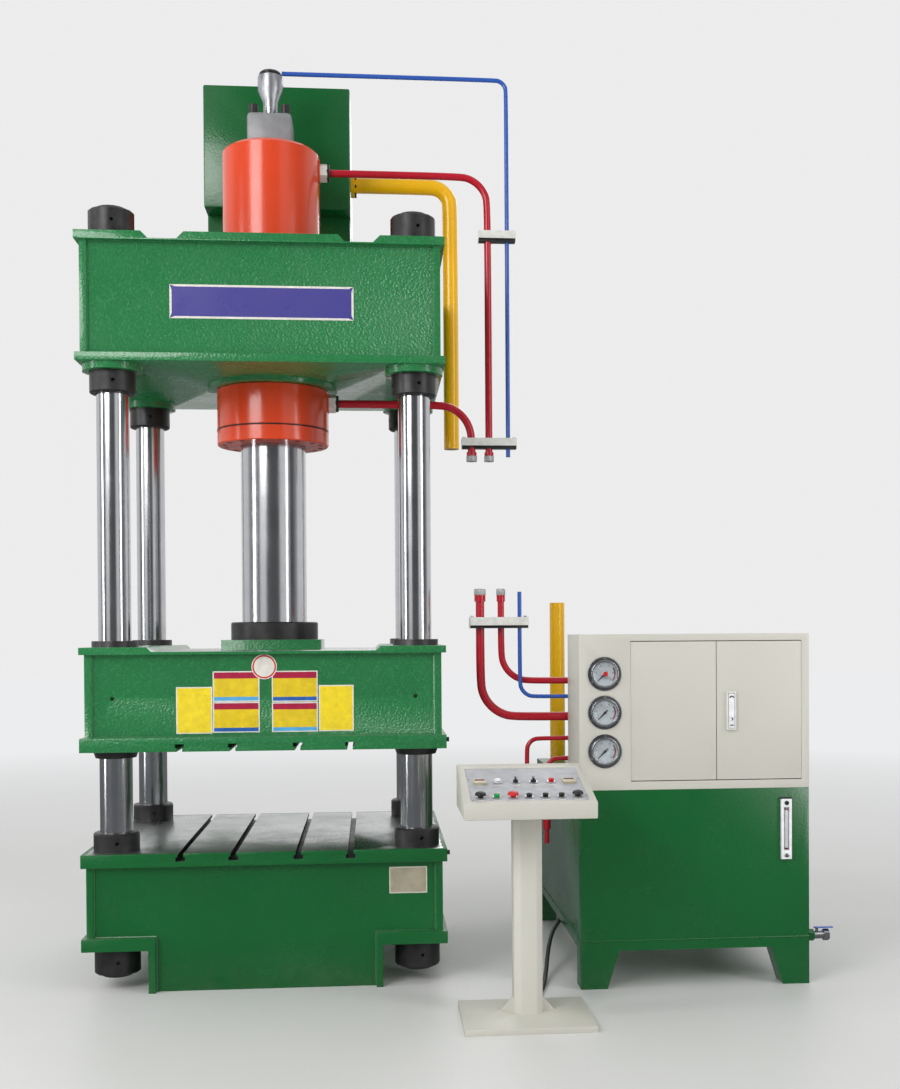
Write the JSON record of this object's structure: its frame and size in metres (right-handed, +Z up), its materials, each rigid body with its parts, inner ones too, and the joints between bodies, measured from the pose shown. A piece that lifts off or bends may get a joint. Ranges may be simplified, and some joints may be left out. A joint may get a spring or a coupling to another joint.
{
  "type": "hydraulic press",
  "caption": "Four-column hydraulic press with T-slotted bed and slide, overhead cylinder, power unit with cabinet and gauges, and a sloped push-button console",
  "frame": {"origin": "on the floor, at the middle of the bed's foot, under the ram's axis", "axes": "+Z up along the ram, -Y towards the operator, +X towards the power unit"},
  "size_m": [2.9923, 2.02, 3.9],
  "materials": {
    "crown_green": "glossy hammered enamel",
    "bed_green": "glossy enamel",
    "ground_steel": "hard chromed and ground",
    "black_oxide": "blackened, oiled",
    "off_white_paint": "fine textured enamel",
    "orange_paint": "glossy enamel",
    "red_paint": "glossy enamel",
    "yellow_paint": "glossy enamel",
    "blue_paint": "glossy enamel",
    "zinc_steel": "zinc plated",
    "white_plastic": "matt",
    "black_plastic": "matt",
    "black_rubber": "matt",
    "red_plastic": "glossy",
    "green_plastic": "glossy"
  },
  "bodies": {
    "root": {"bed": "bed_green", "crown": "crown_green", "column_front_left": "ground_steel", "column_front_right": "ground_steel", "column_rear_left": "ground_steel", "column_rear_right": "ground_steel", "cylinder": "orange_paint", "cylinder_gland": "orange_paint", "prefill_tank": "bed_green", "prefill_valve": "zinc_steel", "prefill_valve_cap": "black_oxide", "pipe_return": "yellow_paint", "pipe_lift": "red_paint", "pipe_pressing": "red_paint", "pipe_pilot": "blue_paint", "pipe_clamp_upper": "white_plastic", "pipe_clamp_lower": "white_plastic", "oil_tank": "bed_green", "cabinet": "off_white_paint", "switchgear": "zinc_steel", "gauge_1": "black_plastic", "gauge_2": "black_plastic", "gauge_3": "black_plastic", "level_gauge": "zinc_steel", "drain_valve": "zinc_steel", "valve_manifold": "zinc_steel", "motor_pump": "crown_green", "unit_pipe_lift": "red_paint", "unit_pipe_pressing": "red_paint", "unit_pipe_pilot": "blue_paint", "unit_pipe_c": "red_paint", "unit_pipe_d": "red_paint", "unit_pipe_return": "yellow_paint", "unit_pipe_clamp": "white_plastic", "console_stand": "off_white_paint", "console_box": "off_white_paint", "control_cable": "black_rubber"},
    "slide": {"slide": "crown_green", "ram": "ground_steel", "ram_flange": "black_oxide"},
    "door_left": {"door_left": "off_white_paint"},
    "door_right": {"door_right": "off_white_paint", "door_lock": "black_plastic"},
    "door_lock_lever": {"door_lock_lever": "zinc_steel"},
    "drain_lever": {"drain_lever": "blue_paint"},
    "needle_1": {"needle_1": "black_plastic"},
    "needle_2": {"needle_2": "black_plastic"},
    "needle_3": {"needle_3": "black_plastic"},
    "gauge_setter": {"gauge_setter": "red_plastic"},
    "mushroom_left": {"mushroom_left": "black_plastic"},
    "mushroom_right": {"mushroom_right": "black_plastic"},
    "emergency_stop": {"emergency_stop": "red_plastic"},
    "button_green": {"button_green": "green_plastic"},
    "button_white": {"button_white": "white_plastic"},
    "button_red": {"button_red": "red_plastic"},
    "button_black_1": {"button_black_1": "black_plastic"},
    "button_black_2": {"button_black_2": "black_plastic"},
    "button_black_3": {"button_black_3": "black_plastic"},
    "selector_1": {"selector_1": "black_plastic"},
    "selector_2": {"selector_2": "black_plastic"}
  },
  "joints": [
    {"name": "slide_travel", "type": "slide", "parent": "root", "child": "slide", "axis": [0, 0, 1], "range_m": [-0.25, 0.45]},
    {"name": "door_left_hinge", "type": "hinge", "parent": "root", "child": "door_left", "pos_m": [1.4386, -0.688, 1.0958], "axis": [0, 0, 1], "range_deg": [-105, 0]},
    {"name": "door_right_hinge", "type": "hinge", "parent": "root", "child": "door_right", "pos_m": [2.1274, -0.688, 1.0958], "axis": [0, 0, 1], "range_deg": [0, 105]},
    {"name": "lock_lever_hinge", "type": "hinge", "parent": "door_right", "child": "door_lock_lever", "pos_m": [1.841, -0.7003, 1.1623], "axis": [1, 0, 0], "range_deg": [-35, 0]},
    {"name": "drain_lever_hinge", "type": "hinge", "parent": "root", "child": "drain_lever", "pos_m": [2.2048, -0.64, 0.2103], "axis": [0, 0, 1], "range_deg": [-90, 0]},
    {"name": "needle_1_turn", "type": "hinge", "parent": "root", "child": "needle_1", "pos_m": [1.334, -0.6976, 1.2445], "axis": [0, 1, 0], "range_deg": [0, 270]},
    {"name": "needle_2_turn", "type": "hinge", "parent": "root", "child": "needle_2", "pos_m": [1.334, -0.6976, 1.0923], "axis": [0, 1, 0], "range_deg": [0, 270]},
    {"name": "needle_3_turn", "type": "hinge", "parent": "root", "child": "needle_3", "pos_m": [1.334, -0.6976, 0.9401], "axis": [0, 1, 0], "range_deg": [0, 270]},
    {"name": "gauge_setter_turn", "type": "hinge", "parent": "root", "child": "gauge_setter", "pos_m": [1.334, -0.6903, 1.2445], "axis": [0, 1, 0], "range_deg": [0, 270]},
    {"name": "mushroom_left_push", "type": "slide", "parent": "root", "child": "mushroom_left", "axis": [0, -0.238, 0.9713], "range_m": [-0.006, 0], "stiffness_N_per_m": 800},
    {"name": "mushroom_right_push", "type": "slide", "parent": "root", "child": "mushroom_right", "axis": [0, -0.238, 0.9713], "range_m": [-0.006, 0], "stiffness_N_per_m": 800},
    {"name": "emergency_stop_push", "type": "slide", "parent": "root", "child": "emergency_stop", "axis": [0, -0.238, 0.9713], "range_m": [-0.006, 0], "stiffness_N_per_m": 800},
    {"name": "button_green_push", "type": "slide", "parent": "root", "child": "button_green", "axis": [0, -0.238, 0.9713], "range_m": [-0.004, 0], "stiffness_N_per_m": 500},
    {"name": "button_white_push", "type": "slide", "parent": "root", "child": "button_white", "axis": [0, -0.238, 0.9713], "range_m": [-0.004, 0], "stiffness_N_per_m": 500},
    {"name": "button_red_push", "type": "slide", "parent": "root", "child": "button_red", "axis": [0, -0.238, 0.9713], "range_m": [-0.004, 0], "stiffness_N_per_m": 500},
    {"name": "button_black_1_push", "type": "slide", "parent": "root", "child": "button_black_1", "axis": [0, -0.238, 0.9713], "range_m": [-0.004, 0], "stiffness_N_per_m": 500},
    {"name": "button_black_2_push", "type": "slide", "parent": "root", "child": "button_black_2", "axis": [0, -0.238, 0.9713], "range_m": [-0.004, 0], "stiffness_N_per_m": 500},
    {"name": "button_black_3_push", "type": "slide", "parent": "root", "child": "button_black_3", "axis": [0, -0.238, 0.9713], "range_m": [-0.004, 0], "stiffness_N_per_m": 500},
    {"name": "selector_1_turn", "type": "hinge", "parent": "root", "child": "selector_1", "pos_m": [0.9394, -1.05532, 0.86306], "axis": [0, -0.238, 0.9713], "range_deg": [-45, 45]},
    {"name": "selector_2_turn", "type": "hinge", "parent": "root", "child": "selector_2", "pos_m": [1.0046, -1.05532, 0.86306], "axis": [0, -0.238, 0.9713], "range_deg": [-45, 45]}
  ]
}
